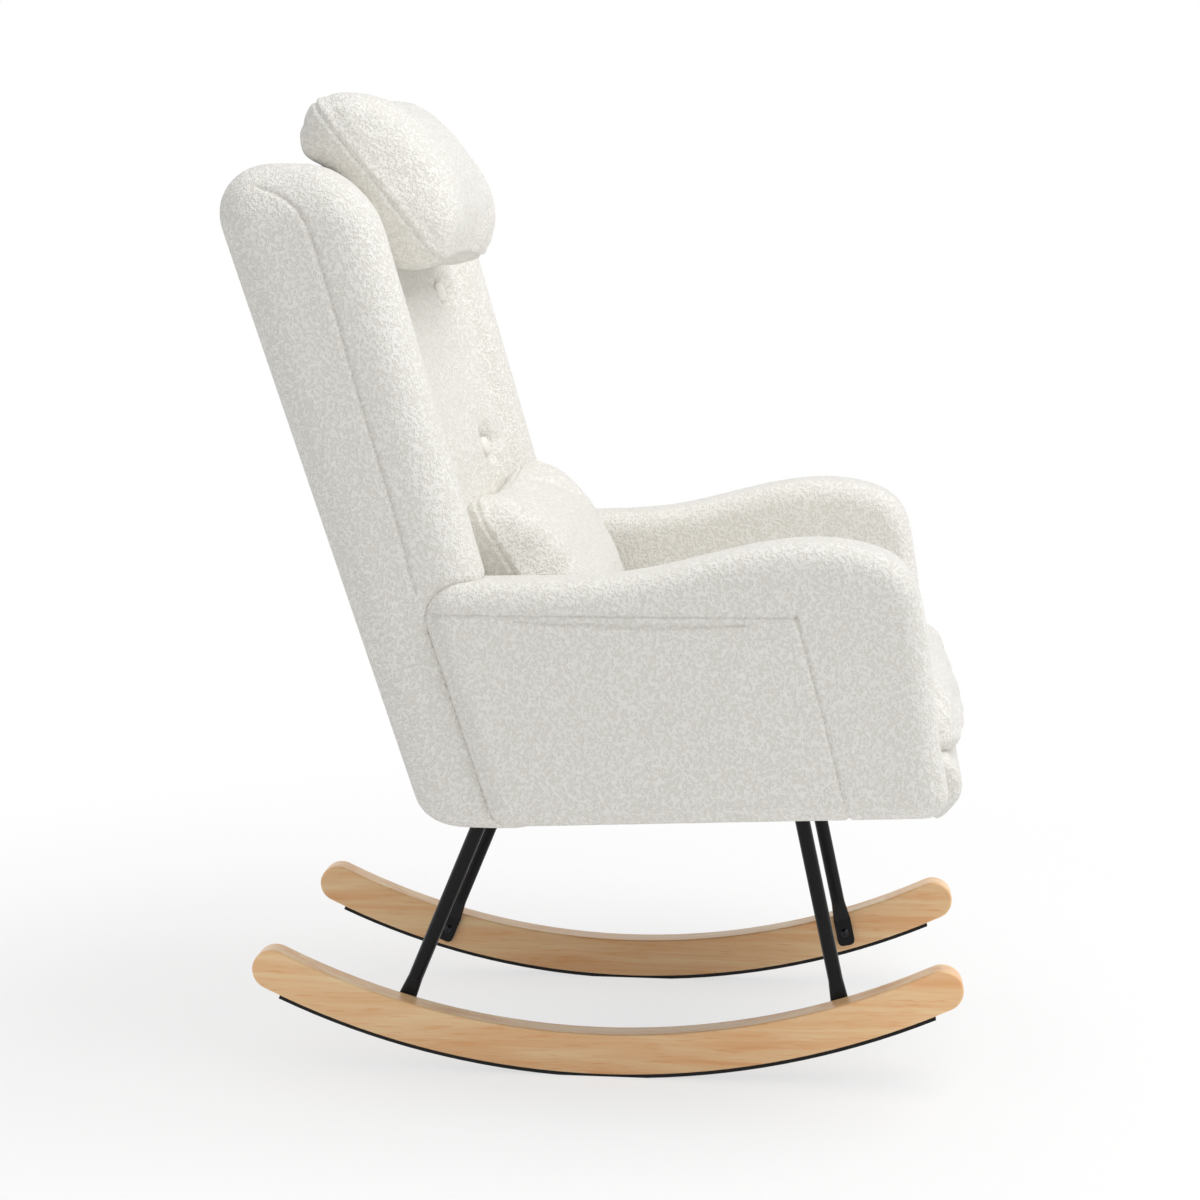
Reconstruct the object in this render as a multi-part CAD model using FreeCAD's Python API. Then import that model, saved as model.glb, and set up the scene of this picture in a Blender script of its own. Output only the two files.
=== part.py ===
import FreeCAD, Part
import math
import os

# Rocking armchair. Lengths are in millimetres and angles in degrees.
# It faces -Y, X = 0 is its left-right middle plane, the sitter's left is +X, the floor is Z = 0.

# Rockers and their anti-slip strips
rocker_outer_x = 189.0
rocker_thickness = 28.0
rocker_depth = 45.0
rocker_radius = 859.0
rocker_end_angle = 25.7
rocker_lowest_y = -5.0
rocker_edge_round = 2.5
strip_thickness = 4.5
strip_width = 21.0
strip_end_angle = 24.4
strip_flat = 96.0

# Steel tube legs with flattened feet and welded top plates
leg_diameter = 16.0
leg_wall = 1.5
leg_to_rocker = 1.0
foot_width = 20.0
foot_thickness = 6.0
foot_below_bolt = 15.0
foot_above_bolt = 17.0
foot_corner = 6.0
foot_blend = 24.0
front_foot_y = -263.0
rear_foot_y = 221.0
front_leg_top_y = -207.0
rear_leg_top_y = 116.0
plate_length = 74.0
plate_width = 46.0
plate_thickness = 4.0
tube_round_share = 0.97

# Foot bolts, their threaded inserts, and the wood screws of the top plates
bolt_diameter = 6.0
bolt_head_diameter = 11.5
bolt_head_height = 3.6
bolt_reach = 12.0
bolt_socket = 4.0
bolt_clearance = 0.2
insert_diameter = 9.0
insert_length = 15.0
screw_diameter = 4.0
screw_head_diameter = 8.0
screw_head_height = 2.4
screw_reach = 16.0
screw_edge = 8.0

# Seat base: timber rails, leg bearers, webbing and dust cover, all tipped back together
seat_base_z = 317.0
seat_tilt = 2.6
rail_height = 30.0
rail_width = 45.0
rail_front_y = -352.0
rail_rear_y = 155.0
side_rail_width = 30.0
bearer_width = 60.0
bearer_height = 22.0
dust_cover_thickness = 1.0
web_thickness = 1.5
web_width = 50.0
web_count = 4

# Arms: a padded slab on each side, round a plywood board
arm_inner_x = 240.0
arm_width = 90.0
arm_edge_round = 24.0
arm_below_base = 5.0
arm_crest_z = 601.0
arm_dip_y = -50.0
arm_dip_z = 567.0
arm_rear_y = 174.0
arm_rear_z = 554.0
arm_rear_corner = 34.0
arm_front_top_y = -347.0
arm_front_low_y = -366.0
arm_front_round = 89.0
arm_low_corner = 27.0
arm_seam_y = 166.0
arm_seam_z = 529.0
arm_board_inset = 6.0
arm_board_thickness = 18.0
arm_board_cover = 46.0

# Arm facings and side pockets
facing_depth = 13.0
pocket_panel_thickness = 4.0
pocket_rear_margin = 44.0
pocket_front_top_y = -211.0
pocket_front_low_y = -262.0
pocket_mouth_z = 526.0
pocket_mouth_sag = 13.0
pocket_bottom_margin = 42.0

# Back: upholstered shell with side wings, over a timber frame
back_bottom_z = 303.0
back_top_z = 973.0
back_side_inset = 12.0
back_low_z = 557.0
back_high_z = 899.0
wing_front_low_y = 107.0
wing_front_high_y = 205.0
back_rear_low_y = 253.0
back_rear_high_y = 365.0
back_corner = 42.0
wing_round = 44.0
wing_inner_run = 50.0
wing_valley = 22.0
back_dish = 40.0
back_top_round = 66.0
back_bottom_round = 26.0
post_width = 30.0
post_depth = 25.0
post_rear_cover = 30.0
post_bottom_z = 322.0
back_cover = 10.0
hollow_bottom_z = 400.0
post_top_z = 905.0
back_rail_height = 40.0
lumbar_rail_z = 575.0
back_web_count = 5
frame_bolt_diameter = 8.0
frame_bolt_head = 16.0
frame_bolt_head_height = 4.0
frame_bolt_rise = 14.0

# Back pad between the wings: dished from wing to wing, with covered buttons in sewn tufts
pad_side_gap = 17.0
pad_thickness = 86.0
pad_dish = 33.0
pad_dish_z = 620.0
pad_low_crown = 22.0
pad_bottom_z = 356.0
pad_top_z = 958.0
pad_top_round = 44.0
tuft_columns_x = 170.0
tuft_upper_z = 834.0
tuft_lower_z = 652.0
tuft_radius = 34.0
tuft_depth = 12.0
tuft_lip = 2.0
button_diameter = 23.0
button_height = 8.0
button_edge = 3.0
tuft_run_share = 0.35
tuft_rise_share = 0.65

# Seat cushion and the padded border below its front edge
cushion_front_y = -392.0
cushion_side_gap = 1.0
cushion_rear_gap = 1.0
cushion_height = 92.0
cushion_edge = 34.0
cushion_corner = 52.0
cushion_draw = 5.0
cushion_front_bulge = 10.0
border_front_y = -381.0
border_below_base = 3.0
border_round = 22.0
border_end_gap = 1.0

# Headrest pillow over the top of the back
head_half_width = 176.0
head_half_height = 108.0
head_front = 60.0
head_rear = 58.0
head_y = 235.0
head_z = 951.0
head_lean = 38.9
head_edge = 27.0
head_corner = 40.0
head_draw = 8.0

# Lumbar pillow on the seat
lumbar_half_width = 213.0
lumbar_half_height = 109.0
lumbar_front = 48.0
lumbar_rear = 56.0
lumbar_y = 76.0
lumbar_z = 534.0
lumbar_lean = 29.7
lumbar_edge = 25.0
lumbar_corner = 34.0
lumbar_draw = 12.0

# Clearance between pieces of different bodies, and the overrun of every cutter
soft_clearance = 0.6
overrun = 60.0

# Shares of a pillow's half thickness, and of its edge size, from the seam out to the face
pillow_rise_shares = (0.0, 0.3, 0.62, 0.88, 1.0)
pillow_inset_shares = (0.0, 0.16, 0.62, 1.5, 3.0)
# Shares of the seat cushion's height, and of its edge size, from the underside to the crown
cushion_rise_shares = (0.0, 0.16, 0.42, 0.68, 0.85, 0.95, 1.0)
cushion_inset_shares = (0.62, 0.14, 0.0, 0.14, 0.55, 1.35, 2.8)
# Shares of the side rail's length at which bolts hold the arm board
arm_bolt_shares = (0.15, 0.72)
# Shares of a rounded end's height and inset, along a quarter turn
end_rise_shares = (0.0, 0.5, 0.86, 1.0)
end_inset_shares = (0.0, 0.14, 0.5, 0.92)

origin = FreeCAD.Vector(0, 0, 0)
along_x = FreeCAD.Vector(1, 0, 0)
along_y = FreeCAD.Vector(0, 1, 0)
along_z = FreeCAD.Vector(0, 0, 1)
half_root = math.sqrt(0.5)
parts = {}


def point(x, y, z):
    return FreeCAD.Vector(x, y, z)


def line(start, end):
    return Part.makeLine(start, end)


def arc(start, middle, end):
    return Part.Arc(start, middle, end).toShape()


def face(edges):
    return Part.Face(Part.Wire(edges))


def mirrored(shape):
    return shape.mirror(origin, along_x)


def block(x0, x1, y0, y1, z0, z1):
    return Part.makeBox(x1 - x0, y1 - y0, z1 - z0, point(x0, y0, z0))


def outline_prism(points, x0, x1):
    edges = []
    for start, end in zip(points, points[1:] + points[:1]):
        edges.append(line(point(x0, *start), point(x0, *end)))
    return face(edges).extrude(point(x1 - x0, 0, 0))


def seated(shape):
    # Tip a shape of the level seat frame back and lift it to its height.
    placed = shape.copy()
    placed.rotate(origin, along_x, -seat_tilt)
    placed.translate(point(0, 0, seat_base_z))
    return placed


def seat_point(y, z):
    # The Y and Z of a point of the level seat frame, once it is tipped and lifted.
    turn = math.radians(seat_tilt)
    return (y * math.cos(turn) + z * math.sin(turn),
            seat_base_z - y * math.sin(turn) + z * math.cos(turn))


def seat_box(x0, x1, y0, y1, z0, z1):
    return seated(block(x0, x1, y0, y1, z0, z1))


def between(z, z0, y0, z1, y1):
    return y0 + (y1 - y0) * (z - z0) / (z1 - z0)


def wing_front(z):
    return between(z, back_low_z, wing_front_low_y, back_high_z, wing_front_high_y)


def back_rear(z):
    return between(z, back_low_z, back_rear_low_y, back_high_z, back_rear_high_y)


def without(shape, cutters):
    for cutter in cutters:
        shape = shape.cut(cutter)
    return shape


def group(shapes):
    return Part.makeCompound(shapes)


# Rockers and strips: rings cut to a sector, seen from the side
strip_radius = rocker_radius + strip_thickness
rocker_centre_z = math.sqrt(strip_radius ** 2 - (strip_flat / 2) ** 2)
rocker_inner_x = rocker_outer_x - rocker_thickness
rocker_mid_radius = rocker_radius - rocker_depth / 2


def rocker_point(radius, angle, x):
    turn = math.radians(angle)
    return point(x, rocker_lowest_y + radius * math.sin(turn), rocker_centre_z - radius * math.cos(turn))


def rocker_end(angle, x):
    # The outermost point of the full-round end.
    turn = math.radians(angle)
    reach = math.copysign(rocker_depth / 2, angle)
    tip = rocker_point(rocker_mid_radius, angle, x)
    return tip + point(0, reach * math.cos(turn), reach * math.sin(turn))


def bolt_point(foot_y):
    angle = math.degrees(math.asin((foot_y - rocker_lowest_y) / rocker_mid_radius))
    return rocker_point(rocker_mid_radius, angle, 0)


def insert_at(foot_y):
    seat = bolt_point(foot_y) + point(rocker_inner_x, 0, 0)
    return Part.makeCylinder(insert_diameter / 2, insert_length, seat, along_x)


def make_rocker():
    inner = rocker_radius - rocker_depth
    a = rocker_end_angle
    x = rocker_inner_x
    edges = [
        arc(rocker_point(rocker_radius, -a, x), rocker_point(rocker_radius, 0, x),
            rocker_point(rocker_radius, a, x)),
        arc(rocker_point(rocker_radius, a, x), rocker_end(a, x), rocker_point(inner, a, x)),
        arc(rocker_point(inner, a, x), rocker_point(inner, 0, x), rocker_point(inner, -a, x)),
        arc(rocker_point(inner, -a, x), rocker_end(-a, x), rocker_point(rocker_radius, -a, x)),
    ]
    blank = face(edges).extrude(point(rocker_thickness, 0, 0))
    sides = [f for f in blank.Faces if f.Surface.TypeId == "Part::GeomPlane"]
    rounded = blank.makeFillet(rocker_edge_round, [e for f in sides for e in f.Edges])
    for foot_y in (front_foot_y, rear_foot_y):
        rounded = rounded.cut(insert_at(foot_y))
    return rounded


def make_strip():
    # The rubber is flat where the chair stands, so that it keeps still until it is rocked.
    a = strip_end_angle
    flat = math.degrees(math.asin(strip_flat / 2 / strip_radius))
    middle = (a + flat) / 2
    x = rocker_inner_x + (rocker_thickness - strip_width) / 2
    ends = [rocker_point(strip_radius, angle, x) for angle in (-a, -middle, -flat, flat, middle, a)]
    edges = [
        arc(*ends[:3]),
        line(ends[2], ends[3]),
        arc(*ends[3:]),
        line(ends[5], rocker_point(rocker_radius, a, x)),
        arc(rocker_point(rocker_radius, a, x), rocker_point(rocker_radius, 0, x),
            rocker_point(rocker_radius, -a, x)),
        line(rocker_point(rocker_radius, -a, x), ends[0]),
    ]
    return face(edges).extrude(point(strip_width, 0, 0))


parts["rocker_left"] = make_rocker()
parts["anti_slip_strip_left"] = make_strip()

# Threaded inserts, and button-head bolts that hold the feet to the rockers' inner faces


def make_insert(foot_y):
    bore = Part.makeCylinder((bolt_diameter + bolt_clearance) / 2, insert_length,
                             bolt_point(foot_y) + point(rocker_inner_x, 0, 0), along_x)
    return insert_at(foot_y).cut(bore)


def domed(radius, rise, base):
    # A spherical cap over a disc: the edges of its half section, from the rim to the axis.
    sphere = (radius ** 2 + rise ** 2) / (2 * rise)
    half_turn = math.asin(radius / sphere) / 2
    middle = point(sphere * math.sin(half_turn), 0, base + rise - sphere * (1 - math.cos(half_turn)))
    return arc(point(radius, 0, base), middle, point(0, 0, base + rise))


def revolved(edges):
    return face(edges).revolve(origin, along_z, 360)


def make_bolt(foot_y):
    # Drawn head up, with the shank hanging below it, then laid along X.
    radius = bolt_head_diameter / 2
    reach = foot_thickness + bolt_reach
    dome = revolved([line(origin, point(radius, 0, 0)), domed(radius, bolt_head_height, 0),
                     line(point(0, 0, bolt_head_height), origin)])
    corners = []
    for corner in range(6):
        turn = math.radians(60 * corner)
        corners.append(point(bolt_socket / 2 * math.cos(turn), bolt_socket / 2 * math.sin(turn),
                             bolt_head_height / 2))
    socket = Part.Face(Part.makePolygon(corners + corners[:1])).extrude(point(0, 0, bolt_head_height))
    shank = Part.makeCylinder(bolt_diameter / 2, reach, point(0, 0, -reach))
    bolt = dome.cut(socket).fuse(shank)
    bolt.rotate(origin, along_y, -90)
    bolt.translate(bolt_point(foot_y) + point(rocker_inner_x - foot_thickness, 0, 0))
    return bolt


foot_bolts = [make_bolt(front_foot_y), make_bolt(rear_foot_y)]
foot_inserts = [make_insert(front_foot_y), make_insert(rear_foot_y)]
parts["foot_bolts"] = group(foot_bolts + [mirrored(b) for b in foot_bolts])
parts["foot_inserts"] = group(foot_inserts + [mirrored(i) for i in foot_inserts])

# Legs: drawn upright over the bolt, then leaned to their top plate
leg_x = rocker_inner_x - leg_to_rocker - leg_diameter / 2


def rounded_ring(x_mid, half_x, half_y, radius, z):
    # A level ring of four lines and four corner arcs, with the same edges at every size.
    edges = []
    inner_x = half_x - radius
    inner_y = half_y - radius
    diagonal = radius * half_root
    corners = ((1, 1), (-1, 1), (-1, -1), (1, -1))
    for turn, (sx, sy) in enumerate(corners):
        side = point(x_mid + sx * half_x, sy * inner_y, z)
        end = point(x_mid + sx * inner_x, sy * half_y, z)
        middle = point(x_mid + sx * (inner_x + diagonal), sy * (inner_y + diagonal), z)
        start, stop = (side, end) if turn % 2 == 0 else (end, side)
        if edges:
            edges.append(line(edges[-1].Vertexes[-1].Point, start))
        edges.append(arc(start, middle, stop))
    edges.append(line(edges[-1].Vertexes[-1].Point, edges[0].Vertexes[0].Point))
    return Part.Wire(edges)


def plate_screw_places(top_y):
    reach_x = plate_width / 2 - screw_edge
    reach_y = plate_length / 2 - screw_edge
    return [(leg_x + sx * reach_x, top_y + sy * reach_y) for sx in (-1, 1) for sy in (-1, 1)]


def screw_holes(top_y):
    depth = plate_thickness + dust_cover_thickness + screw_reach
    return [seated(Part.makeCylinder(screw_diameter / 2, depth, point(x, y, -plate_thickness)))
            for x, y in plate_screw_places(top_y)]


def make_screw(x, y):
    head = Part.makeCylinder(screw_head_diameter / 2, screw_head_height,
                             point(x, y, -plate_thickness - screw_head_height))
    depth = plate_thickness + dust_cover_thickness + screw_reach
    shank = Part.makeCylinder(screw_diameter / 2, depth, point(x, y, -plate_thickness))
    return seated(head.fuse(shank))


def make_leg(foot_y, top_y):
    foot_x = rocker_inner_x - foot_thickness / 2 - leg_x
    top = point(0, *seat_point(top_y, 0))
    bolt = bolt_point(foot_y)
    run = top - bolt
    tube_start = foot_above_bolt + foot_blend
    flat = block(foot_x - foot_thickness / 2, foot_x + foot_thickness / 2,
                 -foot_width / 2, foot_width / 2, -foot_below_bolt, foot_above_bolt)
    low = [e for e in flat.Edges if e.BoundBox.XLength > foot_thickness / 2
           and e.BoundBox.ZMax < 0]
    flat = flat.makeFillet(foot_corner, low)
    blend = Part.makeLoft([
        rounded_ring(foot_x, foot_thickness / 2, foot_width / 2, foot_thickness / 2 * tube_round_share,
                     foot_above_bolt),
        rounded_ring(0, leg_diameter / 2, leg_diameter / 2, leg_diameter / 2 * tube_round_share, tube_start),
    ], True, True)
    tube = Part.makeCylinder(leg_diameter / 2, run.Length + leg_diameter - tube_start,
                             point(0, 0, tube_start))
    bore = Part.makeCylinder(leg_diameter / 2 - leg_wall, run.Length + overrun, point(0, 0, tube_start))
    hole = Part.makeCylinder((bolt_diameter + bolt_clearance) / 2, foot_thickness + overrun,
                             point(foot_x - foot_thickness, 0, 0), along_x)
    leg = flat.fuse(blend).fuse(tube).cut(bore).cut(hole)
    leg.rotate(origin, along_x, math.degrees(math.atan2(-run.y, run.z)))
    leg.translate(bolt + point(leg_x, 0, 0))
    above = seat_box(-rocker_outer_x, rocker_outer_x, top_y - overrun, top_y + overrun,
                     -plate_thickness, overrun)
    plate = seat_box(leg_x - plate_width / 2, leg_x + plate_width / 2,
                     top_y - plate_length / 2, top_y + plate_length / 2, -plate_thickness, 0)
    for screw_hole in screw_holes(top_y):
        plate = plate.cut(screw_hole)
    return leg.cut(above).fuse(plate)


def all_screw_holes():
    return screw_holes(front_leg_top_y) + screw_holes(rear_leg_top_y)


leg_places = {"front": (front_foot_y, front_leg_top_y), "rear": (rear_foot_y, rear_leg_top_y)}
plate_screws = []
for place, (foot_y, top_y) in leg_places.items():
    parts["leg_" + place + "_left"] = make_leg(foot_y, top_y)
    plate_screws += [make_screw(x, y) for x, y in plate_screw_places(top_y)]
parts["leg_plate_screws"] = group(plate_screws + [mirrored(s) for s in plate_screws])

# Seat base, drawn level above the dust cover and then tipped
rail_bottom = dust_cover_thickness
rail_top = rail_bottom + rail_height
cross_web_top = rail_top + web_thickness
deck = cross_web_top + web_thickness
side_rail_x = arm_inner_x + arm_board_inset
board_x = side_rail_x + side_rail_width
rail_front_inner_y = rail_front_y + rail_width
rail_rear_inner_y = rail_rear_y - rail_width
post_x = side_rail_x - post_width
base_space = seat_box(-board_x, board_x, rail_front_y, rail_rear_y, -overrun, deck)


def make_bearer():
    bearer = seat_box(leg_x - bearer_width / 2, leg_x + bearer_width / 2, rail_front_inner_y,
                      rail_rear_inner_y, rail_bottom, rail_bottom + bearer_height)
    return without(bearer, all_screw_holes())


def make_rear_rail():
    rail = seat_box(-post_x, post_x, rail_rear_inner_y, rail_rear_y, rail_bottom, rail_top)
    holes = all_screw_holes() + [frame_bolt_hole(*back_bolt_place)]
    return without(rail, holes + [mirrored(hole) for hole in holes])


def make_dust_cover():
    cover = seat_box(-board_x, board_x, rail_front_y, rail_rear_y, 0, dust_cover_thickness)
    holes = all_screw_holes()
    return without(cover, holes + [mirrored(hole) for hole in holes])


def make_seat_webbing():
    straps = []
    pitch_y = (rail_rear_inner_y - rail_front_inner_y) / web_count
    pitch_x = 2 * post_x / web_count
    for place in range(web_count):
        y = rail_front_inner_y + pitch_y * (place + 1 / 2) - web_width / 2
        straps.append(seat_box(-board_x, board_x, y, y + web_width, rail_top, cross_web_top))
        x = -post_x + pitch_x * (place + 1 / 2) - web_width / 2
        straps.append(seat_box(x, x + web_width, rail_front_y, rail_rear_y, cross_web_top, deck))
    return group(straps)


# Frame bolts lie along X: one holds each back post, two hold each arm board
back_bolt_place = (rail_rear_y - rail_width / 2, board_x, -1)
arm_bolt_places = [(rail_front_inner_y + share * (rail_rear_inner_y - rail_front_inner_y), side_rail_x, 1)
                   for share in arm_bolt_shares]


def frame_bolt_shank(y, x, way):
    reach = side_rail_width + (post_width + rail_width / 2 if way < 0 else arm_board_thickness)
    return Part.makeCylinder(frame_bolt_diameter / 2, reach, point(x, y, rail_bottom + frame_bolt_rise),
                             point(way, 0, 0))


def frame_bolt_hole(y, x, way):
    return seated(frame_bolt_shank(y, x, way))


def make_frame_bolt(y, x, way):
    head = Part.makeCylinder(frame_bolt_head / 2, frame_bolt_head_height,
                             point(x, y, rail_bottom + frame_bolt_rise), point(-way, 0, 0))
    return seated(frame_bolt_shank(y, x, way).fuse(head))


def make_side_rail():
    rail = seat_box(side_rail_x, board_x, rail_front_inner_y, rail_rear_y, rail_bottom, rail_top)
    return without(rail, [frame_bolt_hole(*place) for place in [back_bolt_place] + arm_bolt_places])


frame_bolts = [make_frame_bolt(*place) for place in [back_bolt_place] + arm_bolt_places]
parts["seat_front_rail"] = seat_box(-board_x, board_x, rail_front_y, rail_front_inner_y,
                                    rail_bottom, rail_top)
parts["seat_rear_rail"] = make_rear_rail()
parts["seat_side_rail_left"] = make_side_rail()
parts["leg_bearer_left"] = make_bearer()
parts["frame_bolts"] = group(frame_bolts + [mirrored(bolt) for bolt in frame_bolts])
parts["dust_cover"] = make_dust_cover()
parts["seat_webbing"] = make_seat_webbing()

# Arms: one smooth outline from the back seam over the crest and down the front
arm_outer_x = arm_inner_x + arm_width
facing_x = arm_outer_x - facing_depth
seam_lean = (back_rear_high_y - back_rear_low_y) / (back_high_z - back_low_z)


def base_z(y, level):
    # World height, at world Y, of a level of the tipped seat frame.
    turn = math.radians(seat_tilt)
    return seat_base_z + level / math.cos(turn) - y * math.tan(turn)


def seam_y(z):
    return arm_seam_y + (z - arm_seam_z) * seam_lean


def seam_foot(level):
    # Where the back seam of the arm meets a level of the seat frame.
    fall = math.tan(math.radians(seat_tilt))
    y = (seam_y(0) + seam_lean * base_z(0, level)) / (1 + seam_lean * fall)
    return y, base_z(y, level)


def rounded_corner(corner, way_in, way_out, radius):
    # An arc that takes a path of unit steps round a corner: its start, middle and end.
    half_turn = way_in.getAngle(way_out) / 2
    tangent = radius * math.tan(half_turn)
    inward = (way_out - way_in).normalize()
    middle = corner + inward * (radius / math.cos(half_turn) - radius)
    return corner - way_in * tangent, middle, corner + way_out * tangent


def arm_face(x):
    shoulder = arm_front_round * (1 - half_root)
    low_z = base_z(arm_front_low_y, -arm_below_base)
    tilt = math.radians(seat_tilt)
    down = point(0, 0, -1)
    backward = point(0, math.cos(tilt), -math.sin(tilt))
    up_seam = point(0, seam_lean, 1).normalize()
    forward = point(0, arm_dip_y - arm_rear_y, arm_dip_z - arm_rear_z).normalize()
    rear_rise = (arm_rear_z - arm_seam_z) / up_seam.z
    rear_top = rounded_corner(point(x, arm_seam_y, arm_seam_z) + up_seam * rear_rise, up_seam, forward,
                              arm_rear_corner)
    front_low = rounded_corner(point(x, arm_front_low_y, low_z), down, backward, arm_low_corner)
    rear_low = rounded_corner(point(x, *seam_foot(-arm_below_base)), backward, up_seam, arm_low_corner)
    crest = [
        rear_top[2],
        point(x, arm_dip_y, arm_dip_z),
        point(x, arm_front_top_y + arm_front_round, arm_crest_z),
        point(x, arm_front_top_y + shoulder, arm_crest_z - shoulder),
        point(x, arm_front_top_y, arm_crest_z - arm_front_round),
        front_low[0],
    ]
    top = Part.BSplineCurve()
    top.interpolate(Points=crest, InitialTangent=forward, FinalTangent=down)
    return face([
        top.toShape(),
        arc(*front_low),
        line(front_low[2], rear_low[0]),
        arc(*rear_low),
        line(rear_low[2], rear_top[0]),
        arc(*rear_top),
    ])


def make_arm():
    slab = arm_face(arm_inner_x).extrude(point(arm_width, 0, 0))
    sides = [f for f in slab.Faces if f.BoundBox.XLength < arm_edge_round]
    return slab.makeFillet(arm_edge_round, [e for f in sides for e in f.Edges])


def make_arm_board():
    cover = arm_board_cover
    low_y, low_z = seam_foot(rail_bottom)
    front_y = arm_front_top_y + cover
    outline = [
        (front_y, base_z(front_y, rail_bottom)),
        (front_y, arm_crest_z - arm_front_round),
        (arm_front_top_y + arm_front_round, arm_crest_z - cover),
        (arm_dip_y, arm_dip_z - cover),
        (seam_y(arm_rear_z - cover) - cover, arm_rear_z - cover),
        (low_y - cover, base_z(low_y - cover, rail_bottom)),
    ]
    return outline_prism(outline, board_x, board_x + arm_board_thickness)


def pocket_prism(mouth_drop, x):
    # The side pocket's window, with its mouth sagging by a given drop.
    low = pocket_bottom_margin - arm_below_base
    low_rear_y, low_rear_z = seam_foot(low)
    rear_top = point(x, seam_y(pocket_mouth_z) - pocket_rear_margin, pocket_mouth_z)
    front_top = point(x, pocket_front_top_y, pocket_mouth_z)
    front_low = point(x, pocket_front_low_y, base_z(pocket_front_low_y, low))
    rear_low = point(x, low_rear_y - pocket_rear_margin, base_z(low_rear_y - pocket_rear_margin, low))
    if mouth_drop:
        mouth = arc(front_top, (front_top + rear_top) / 2 - point(0, 0, mouth_drop), rear_top)
    else:
        mouth = line(front_top, rear_top)
    window = face([mouth, line(rear_top, rear_low), line(rear_low, front_low), line(front_low, front_top)])
    return window.extrude(point(arm_outer_x - x, 0, 0))


arm = make_arm()
arm_holes = [frame_bolt_hole(*place) for place in arm_bolt_places]
arm_board = make_arm_board()
outer_side = block(facing_x, arm_outer_x + overrun, arm_front_low_y - overrun, arm_seam_y + overrun,
                   0, arm_crest_z + overrun)
parts["arm_board_left"] = without(arm_board, arm_holes)
parts["arm_pad_left"] = without(arm, [outer_side, base_space, arm_board])
parts["arm_facing_left"] = arm.common(outer_side).cut(pocket_prism(0, facing_x))
parts["side_pocket_left"] = pocket_prism(pocket_mouth_sag, arm_outer_x - pocket_panel_thickness)

# Back frame: two posts leaning with the back, two rails between them, and webbing


def leaning_bar(x0, x1, front, depth, z0, z1):
    # A bar whose front lies a given distance ahead of the back's rear line.
    outline = [(back_rear(z) - offset, z) for z, offset in
               ((z0, front), (z1, front), (z1, front - depth), (z0, front - depth))]
    return outline_prism(outline, x0, x1)


post_front = post_rear_cover + post_depth
back_half_width = arm_outer_x - back_side_inset


def make_back_webbing():
    straps = []
    span = post_top_z - back_rail_height - lumbar_rail_z
    for place in range(back_web_count):
        z = lumbar_rail_z + span * place / (back_web_count - 1)
        straps.append(leaning_bar(-side_rail_x, side_rail_x, post_front + web_thickness, web_thickness,
                                  z, z + back_rail_height))
    return group(straps)


back_post = leaning_bar(post_x, side_rail_x, post_front, post_depth, post_bottom_z, post_top_z)
parts["back_post_left"] = back_post.cut(frame_bolt_hole(*back_bolt_place))
parts["back_top_rail"] = leaning_bar(-post_x, post_x, post_front, post_depth,
                                     post_top_z - back_rail_height, post_top_z)
parts["back_lumbar_rail"] = leaning_bar(-post_x, post_x, post_front, post_depth,
                                        lumbar_rail_z, lumbar_rail_z + back_rail_height)
parts["back_webbing"] = make_back_webbing()

# Back shell: level rings with two rounded wings, rounded off at the top and the bottom


def shell_ring(z, inset):
    front = wing_front(z) + inset
    rear = back_rear(z) - inset
    half = back_half_width - inset
    scale = (rear - front) / (back_rear(z) - wing_front(z))
    corner = back_corner * scale
    tip = wing_round * scale
    run = wing_inner_run * scale
    valley = wing_valley * scale
    dish = back_dish * scale
    bend = 1 - half_root
    sweep = (run * run + valley * valley) / (2 * valley)
    turn = math.asin(run / sweep) / 2
    crest_x = half - tip
    valley_x = crest_x - run
    hollow = (valley_x * valley_x + dish * dish) / (2 * dish)
    hollow_turn = math.asin(valley_x / hollow) / 2
    floor_y = front + valley + dish

    def side(way):
        return [
            arc(point(way * valley_x, front + valley, z),
                point(way * hollow * math.sin(hollow_turn),
                      floor_y - hollow * (1 - math.cos(hollow_turn)), z),
                point(0, floor_y, z)),
            arc(point(way * crest_x, front, z),
                point(way * (crest_x - sweep * math.sin(turn)), front + sweep * (1 - math.cos(turn)), z),
                point(way * valley_x, front + valley, z)),
            arc(point(way * half, front + tip, z),
                point(way * (half - tip * bend), front + tip * bend, z), point(way * crest_x, front, z)),
            line(point(way * half, rear - corner, z), point(way * half, front + tip, z)),
            arc(point(way * (half - corner), rear, z),
                point(way * (half - corner * bend), rear - corner * bend, z),
                point(way * half, rear - corner, z)),
            line(point(0, rear, z), point(way * (half - corner), rear, z)),
        ]

    return Part.Wire(Part.__sortEdges__(side(1) + side(-1)))


def end_levels(start, reach, way):
    # Levels and insets of a rounded end, from its full section to its tip.
    return [(start + way * reach * rise, reach * inset)
            for rise, inset in zip(end_rise_shares, end_inset_shares)]


def stacked(ring, bottom_levels, top_levels):
    low = Part.makeLoft([ring(*level) for level in reversed(bottom_levels)], True, False)
    middle = Part.makeLoft([ring(*bottom_levels[0]), ring(*top_levels[0])], True, True)
    high = Part.makeLoft([ring(*level) for level in top_levels], True, False)
    return low.fuse(middle).fuse(high)


def make_hollow():
    # The air inside the back, behind the webbing and between its outer covers.
    top_z = back_top_z - back_top_round
    rings = [shell_ring(z, back_cover) for z in (hollow_bottom_z, top_z)]
    over_arm = arm_rear_z + back_cover
    centre = leaning_bar(-side_rail_x, side_rail_x, post_front, post_front, hollow_bottom_z, top_z)
    wing = block(side_rail_x, back_half_width, 0, back_rear_high_y, over_arm, top_z)
    return Part.makeLoft(rings, True, True).common(centre.fuse(wing).fuse(mirrored(wing)))


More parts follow.
